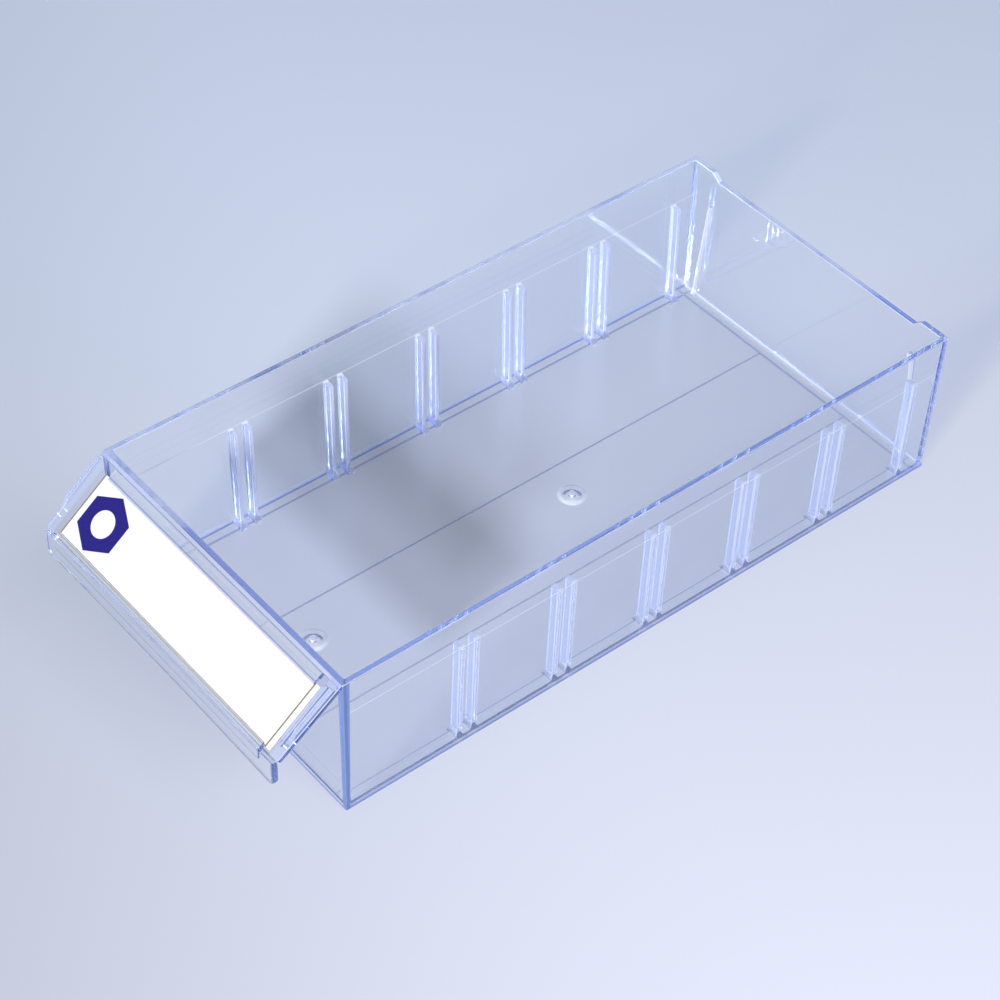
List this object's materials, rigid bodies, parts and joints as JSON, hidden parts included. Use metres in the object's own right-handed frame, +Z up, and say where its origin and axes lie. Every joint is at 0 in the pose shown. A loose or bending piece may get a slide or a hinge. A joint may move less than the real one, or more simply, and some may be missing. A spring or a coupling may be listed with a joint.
{
  "type": "parts cabinet drawer",
  "caption": "Clear bin drawer for a small-parts cabinet, with ribbed sides for dividers and a sloped label holder that doubles as the pull.",
  "frame": {"origin": "middle of the drawer's footprint, on the flat underside that it rests on", "axes": "+X to the right as seen from the front, +Y from the label holder to the back, +Z up"},
  "size_m": [0.1, 0.22, 0.0469],
  "materials": {
    "clear_blue_plastic": "clear, glossy, with a slight blue tint",
    "label_card": "matte white card",
    "clear_film": "clear, glossy"
  },
  "bodies": {
    "drawer": {"drawer_body": "clear_blue_plastic"},
    "card": {"label_card": "label_card"},
    "window": {"label_window": "clear_film"}
  },
  "joints": [
    {"name": "label_card_slide", "type": "slide", "parent": "drawer", "child": "card", "axis": [-1, 0, 0], "range_m": [-0.0007, 0.0038]},
    {"name": "label_window_slide", "type": "slide", "parent": "drawer", "child": "window", "axis": [-1, 0, 0], "range_m": [-0.002, 0.0038]}
  ]
}
